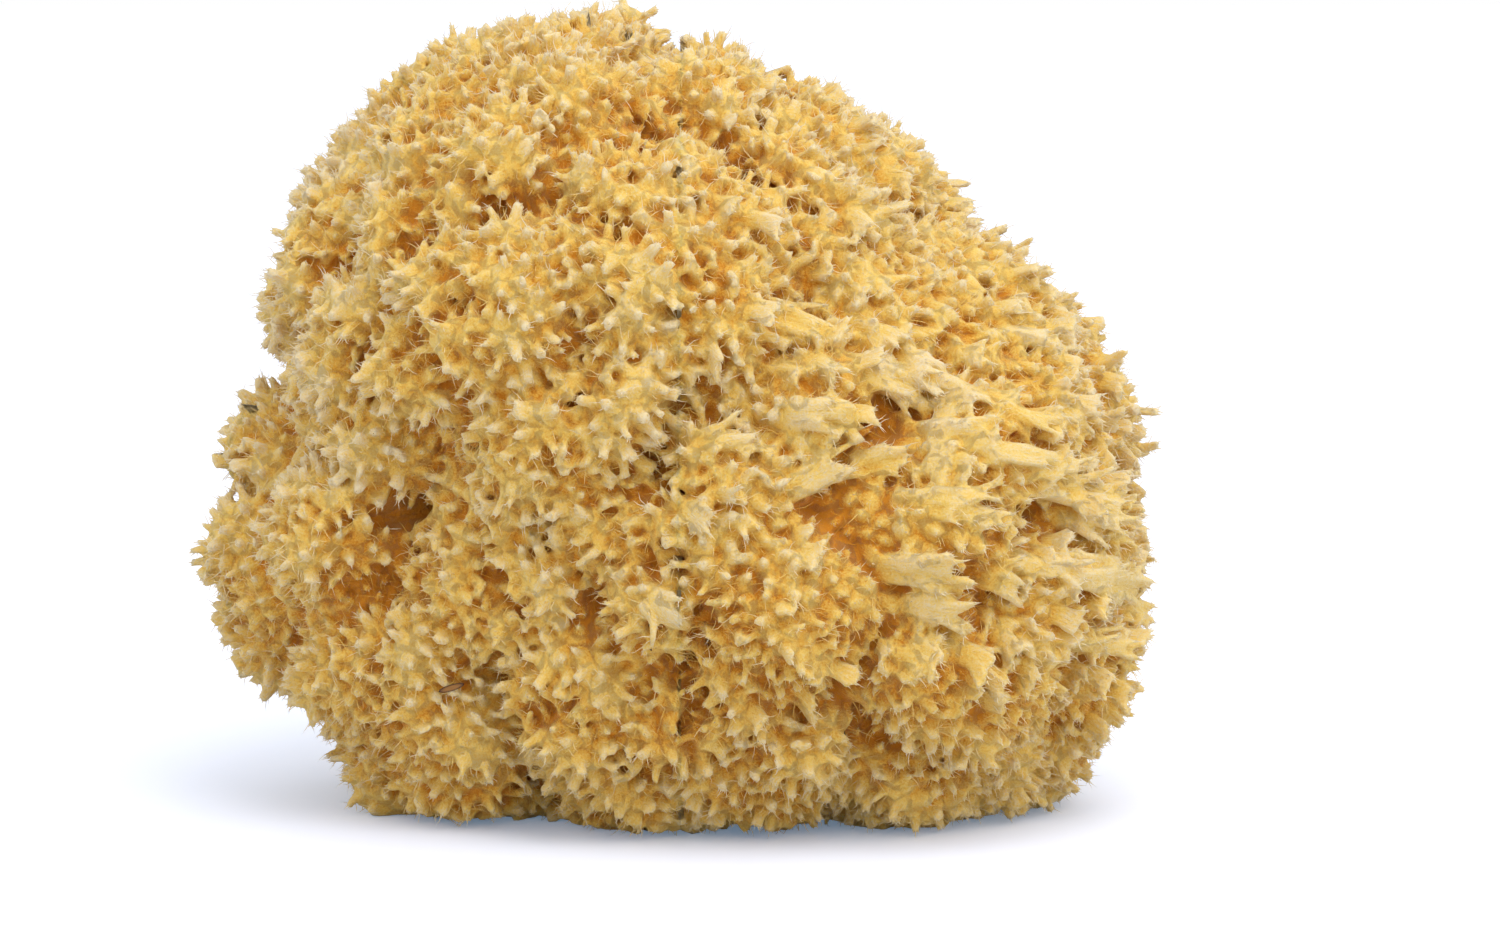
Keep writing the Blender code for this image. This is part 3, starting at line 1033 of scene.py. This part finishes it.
middle = corners[triangles].mean(axis=1)
bearing = np.arctan2(middle[:, 1], middle[:, 0])
felt = spongin("felted_spongin")
quarter_edges = np.radians([-181, -90, 0, 90, 181])
for quarter, low, high in zip(QUARTERS, quarter_edges, quarter_edges[1:]):
    mine = triangles[(bearing >= low) & (bearing < high)]
    used, flat = np.unique(mine, return_inverse=True)
    faces = flat.reshape(-1, 3)
    sides = np.concatenate([faces[:, [0, 1]], faces[:, [1, 2]], faces[:, [2, 0]]])
    keys = sides[:, 0] * len(used) + sides[:, 1]
    back_keys = sides[:, 1] * len(used) + sides[:, 0]
    rim = sides[~np.isin(keys, back_keys)]
    walls = np.stack([rim[:, 1], rim[:, 0], np.full(len(rim), len(used))], axis=1)
    mesh = bpy.data.meshes.new("sponge_" + quarter)
    everything = np.vstack([corners[used], HEART]) * MM
    closed_shell = without_flaps(np.vstack([faces, walls]))
    mesh.from_pydata(everything.tolist(), [], closed_shell.tolist())
    write_attribute(mesh, "rise", np.append(rise[used], 0))
    write_attribute(mesh, "strand", np.vstack([strand_values[used], [0, 0, 0]]))
    write_attribute(mesh, "combed", np.append(combed[used], 0))
    mesh.shade_smooth()
    ends = np.empty(len(mesh.edges) * 2, int)
    mesh.edges.foreach_get("vertices", ends)
    ends = np.sort(ends.reshape(-1, 2), axis=1)
    rim_keys = np.sort(rim, axis=1) @ np.array([len(used) + 1, 1])
    sharp = np.isin(ends @ np.array([len(used) + 1, 1]), rim_keys) | (ends[:, 1] == len(used))
    edge_marks = mesh.attributes.new("sharp_edge", "BOOLEAN", "EDGE")
    edge_marks.data.foreach_set("value", sharp)
    mesh.materials.append(felt)
    piece = placed("sponge_" + quarter, mesh)
    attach(piece, "root")
    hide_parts("sponge")

# The frayed tips
# Every strand ends in a few stiff points, where its main fibres stand out of the felt.
# They are painted paler than the rest, a painted highlight where the points catch the light.
def above_cut(mesh):
    """Lifts what hangs below the cut, so that nothing passes through what it stands on."""
    points = points_of(mesh)
    points[:, 2] = np.maximum(points[:, 2], 0.0001)
    mesh.vertices.foreach_set("co", points.ravel())
    mesh.update()


# The points' material and their fixed colour level of 0.72 paint a highlight on them.
tip_material = spongin("bleached_spongin", streaks=False, lighter=0.12)
point_store = store_shapes("points", [points for _, points in kinds])
tip_mesh = grow(
    "conule_tips", planting, point_store, tip_material, lean_values, across_values,
    size_values, pick_values, rise=np.full(n, 0.72),
)
clear_shapes(point_store)
write_attribute(plume_points, "rise", np.full(len(plume_points.vertices), 0.72))
plume_points.materials.append(tip_material)
for mesh in (tip_mesh, plume_points):
    above_cut(mesh)
    piece = placed(mesh.name, mesh)
    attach(piece, "root")

# The loose fibres
# Short ends of fibre stand out all over the felt, and soften every edge. They are longer
# and lie more every way in the hollows, where nothing has rubbed them off.
FIBRE_COUNT = 40000
LONG_SHARE = 0.6
random = np.random.default_rng(SEED + 8)
fibre_shapes = []
for i in range(8):
    shape = bmesh.new()
    if i < 4:
        spike(shape, (0, 0, -0.15), (random.normal(0, 0.15), random.normal(0, 0.15), 1.0), 0.08)
    else:
        bow = random.normal(0, 0.2, 2)
        base, knee = [
            [
                shape.verts.new((x + r * math.cos(a), y + r * math.sin(a), z))
                for a in (0, 2 * math.pi / 3, 4 * math.pi / 3)
            ]
            for x, y, z, r in ((0, 0, -0.1, 0.075), (*bow, 0.5, 0.062))
        ]
        tip = shape.verts.new((0.3 * bow[1], 0.3 * bow[0], 1.0))
        shape.faces.new(list(reversed(base)))
        for k in range(3):
            j = (k + 1) % 3
            shape.faces.new((base[k], base[j], knee[j]))
            shape.faces.new((base[k], knee[j], knee[k]))
            shape.faces.new((knee[k], knee[j], tip))
    fibre_shapes.append(as_mesh(f"fibre_{i}", shape))
fibre_store = store_shapes("fibres", fibre_shapes)
chosen = random.choice(len(triangles), FIBRE_COUNT, replace=False)
chosen = chosen[middle[chosen, 2] > 0.6]
first = triangles[chosen, 0]
a, b, c = (corners[triangles[chosen, k]] for k in range(3))
face_normals = unit(np.cross(b - a, c - a))
hollow = 1 - smooth_step(0.0, 4.0, over[first])
m = len(chosen)
is_long = random.uniform(0, 1, m) < LONG_SHARE
loose = random.normal(0, 1, (m, 3)) * (0.35 + 0.4 * hollow)[:, None]
fibre_lean = unit(0.6 * face_normals + 0.6 * nearest_lean[first] + loose)
long = random.uniform(0.6, 1.4, m) * (1 + 0.5 * hollow) * np.where(is_long, 1.7, 1.0)
fibre_material = spongin("loose_spongin", streaks=False, lighter=0.2)
feet = middle[chosen]
fibre_size = np.stack([np.ones(m), np.ones(m), long], axis=1)
spin = unit(random.normal(0, 1, (m, 3)))
kind = random.integers(0, 4, m) + 4 * is_long
for name, mine in (("fibres_front", feet[:, 1] < 0), ("fibres_back", feet[:, 1] >= 0)):
    mesh = grow(
        name, feet[mine], fibre_store, fibre_material, fibre_lean[mine], spin[mine],
        fibre_size[mine], kind[mine], rise=rise[first][mine],
    )
    above_cut(mesh)
    piece = placed(name, mesh)
    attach(piece, "root")
clear_shapes(fibre_store)

# The husk
# A small dry seed husk that drifted into the felt on the front, low on the left, with a
# few dark specks of sea-bed grit in the crevices. It is damage that stays as it is.
HUSK_SEEN = (452, 687)
HUSK_SIZE = (2.0, 0.5, 0.5)
GRIT_SEEN = [(648, 616, 1.1), (652, 634, 1.3), (656, 648, 0.9), (850, 742, 1.2)]
GRIT_WIDTH = 0.3
GRIT_THICK = 0.22

body_crossing = VIEW_POINT - (corners - VIEW_POINT) * (
    VIEW_POINT[1] / (corners[:, 1] - VIEW_POINT[1])
)[:, None]


def felt_at(px, py, deep=False):
    """The felt's point that is seen at a place in the picture, or one down in the hollow there."""
    x, z = upright_place(px, py)
    near = np.hypot(body_crossing[:, 0] - x, body_crossing[:, 2] - z) < 0.6 + 1.1 * deep
    seen = np.flatnonzero(near)
    front_most = corners[seen, 1].min()
    seen = seen[corners[seen, 1] < front_most + 5.0 * deep + 0.01]
    return corners[seen[corners[seen, 1].argmax()]]


def dry_matter(name, colour, edge):
    """Dead husk: dull brown, with a darker rim where it has curled."""
    material = bpy.data.materials.new(name)
    material.use_nodes = True
    tree = material.node_tree
    rim = add_node(tree, "ShaderNodeAttribute", attribute_name="rim")
    tone = add_node(
        tree,
        "ShaderNodeMix",
        {"Factor": rim.outputs["Fac"], 6: linear(colour), 7: linear(edge)},
        data_type="RGBA",
    )
    shader = tree.nodes["Principled BSDF"]
    tree.links.new(tone.outputs[2], shader.inputs["Base Color"])
    shader.inputs["Roughness"].default_value = 0.6
    return material


husk_shape = bmesh.new()
bmesh.ops.create_icosphere(husk_shape, subdivisions=3, radius=1.0)
husk_mesh = bpy.data.meshes.new("husk")
husk_shape.to_mesh(husk_mesh)
husk_shape.free()
ball = points_of(husk_mesh)
rim = smooth_step(0.55, 0.95, np.hypot(ball[:, 0], ball[:, 2]))
hull = ball * HUSK_SIZE
hull[:, 1] += 0.35 * (1 - rim) * (ball[:, 1] < 0)
tilt = math.radians(17)
turned_hull = np.stack(
    [
        hull[:, 0] * math.cos(tilt) - hull[:, 2] * math.sin(tilt),
        hull[:, 1],
        hull[:, 0] * math.sin(tilt) + hull[:, 2] * math.cos(tilt),
    ],
    axis=1,
)
husk_mesh.vertices.foreach_set("co", ((turned_hull + felt_at(*HUSK_SEEN) + [0, -0.3, 0]) * MM).ravel())
write_attribute(husk_mesh, "rim", rim)
husk_mesh.shade_smooth()
husk_mesh.materials.append(dry_matter("dry_husk", "#8f6128", "#43240d"))
husk = placed("husk", husk_mesh)
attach(husk, "root")

grit_shape = bmesh.new()
for px, py, long in GRIT_SEEN:
    grain = bmesh.ops.create_icosphere(grit_shape, subdivisions=2, radius=1.0)
    lie = Vector(random.normal(0, 1, 3) * (0.5, 0.3, 1)).to_track_quat("Z", "Y")
    for corner in grain["verts"]:
        ragged = corner.co * float(random.uniform(0.6, 1.2))
        shaped = Vector((GRIT_WIDTH * ragged.x, GRIT_THICK * ragged.y, long * ragged.z))
        corner.co = Vector(felt_at(px, py, deep=True)) + lie @ shaped
grit_mesh = as_mesh("grit", grit_shape)
write_attribute(grit_mesh, "rim", np.ones(len(grit_mesh.vertices)))
grit_mesh.materials.append(dry_matter("dark_grit", "#3a2412", "#3a2412"))
grit = placed("grit", grit_mesh)
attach(grit, "root")

# The studio
# A white table top and a white room, a big soft lamp above on the right, and a long lens
# almost level with the sponge.
FRAME_WIDTH = 0.2325  # what the picture's width covers at the sponge
LENS = 135.0
SENSOR = 36.0
ELEVATION = math.radians(6.5)
AIM = Vector((0.0104, 0.0, 0.0521))
FLOOR_GLOW = 0.25

camera_data = bpy.data.cameras.new("camera")
camera_data.lens = LENS
camera_data.sensor_width = SENSOR
camera = placed("camera", camera_data)
distance = FRAME_WIDTH * LENS / SENSOR
camera.location = AIM + distance * Vector((0, -math.cos(ELEVATION), math.sin(ELEVATION)))
camera.rotation_euler = (math.pi / 2 - ELEVATION, 0, 0)
bpy.context.scene.camera = camera

floor_mesh = bpy.data.meshes.new("floor")
floor_mesh.from_pydata([(-4, -4, 0), (4, -4, 0), (4, 4, 0), (-4, 4, 0)], [], [(0, 1, 2, 3)])
floor = placed("floor", floor_mesh)
paper = bpy.data.materials.new("white_paper")
paper.use_nodes = True
paper_shader = paper.node_tree.nodes["Principled BSDF"]
paper_shader.inputs["Roughness"].default_value = 0.9
paper_shader.inputs["Emission Color"].default_value = linear("#b0d2f5")
seen = add_node(paper.node_tree, "ShaderNodeLightPath")
tone = add_node(
    paper.node_tree,
    "ShaderNodeMix",
    {"Factor": seen.outputs["Is Camera Ray"], 6: linear("#dadadd"), 7: linear("#f2f3fd")},
    data_type="RGBA",
)
paper.node_tree.links.new(tone.outputs[2], paper_shader.inputs["Base Color"])
glow = add_node(
    paper.node_tree,
    "ShaderNodeMath",
    {0: seen.outputs["Is Camera Ray"], 1: FLOOR_GLOW},
    operation="MULTIPLY",
)
paper.node_tree.links.new(glow.outputs[0], paper_shader.inputs["Emission Strength"])
floor_mesh.materials.append(paper)

# The room is white to the eye. Along each axis its light goes, between two heights of the
# view's direction, from one strength to another.
ROOM_LIGHT = {"Z": (0.0, 0.9, 0.8, 0.96), "X": (-1.0, 1.0, 0.82, 1.18), "Y": (-1.0, 1.0, 1.45, 0.85)}
world = bpy.data.worlds.new("white_room")
world.use_nodes = True
sky = world.node_tree
facing = add_node(sky, "ShaderNodeTexCoord")
split = add_node(sky, "ShaderNodeSeparateXYZ", {"Vector": facing.outputs["Generated"]})
lighting = 1.0
for axis, (low, high, at_low, at_high) in ROOM_LIGHT.items():
    share = add_node(
        sky,
        "ShaderNodeMapRange",
        {
            "Value": split.outputs[axis],
            "From Min": low,
            "From Max": high,
            "To Min": at_low,
            "To Max": at_high,
        },
    )
    lighting = add_node(
        sky, "ShaderNodeMath", {0: share.outputs[0], 1: lighting}, operation="MULTIPLY"
    ).outputs[0]
seen = add_node(sky, "ShaderNodeLightPath")
strength = add_node(
    sky,
    "ShaderNodeMix",
    {"Factor": seen.outputs["Is Camera Ray"], 2: lighting, 3: 1.0},
    data_type="FLOAT",
)
sky.links.new(strength.outputs[0], sky.nodes["Background"].inputs["Strength"])
sky.nodes["Background"].inputs["Color"].default_value = (1.0, 1.0, 1.0, 1.0)
bpy.context.scene.world = world


def soft_lamp(name, place, size, power, aim=(0, 0, 0.06)):
    lamp_data = bpy.data.lights.new(name, "AREA")
    lamp_data.shape = "DISK"
    lamp_data.size = size
    lamp_data.energy = power
    lamp = placed(name, lamp_data)
    lamp.location = place
    lamp.rotation_euler = (Vector(place) - Vector(aim)).to_track_quat("Z", "Y").to_euler()


soft_lamp("key", (0.25, -0.5, 0.9), 0.7, 3.45)
bpy.context.scene.view_settings.view_transform = "Standard"
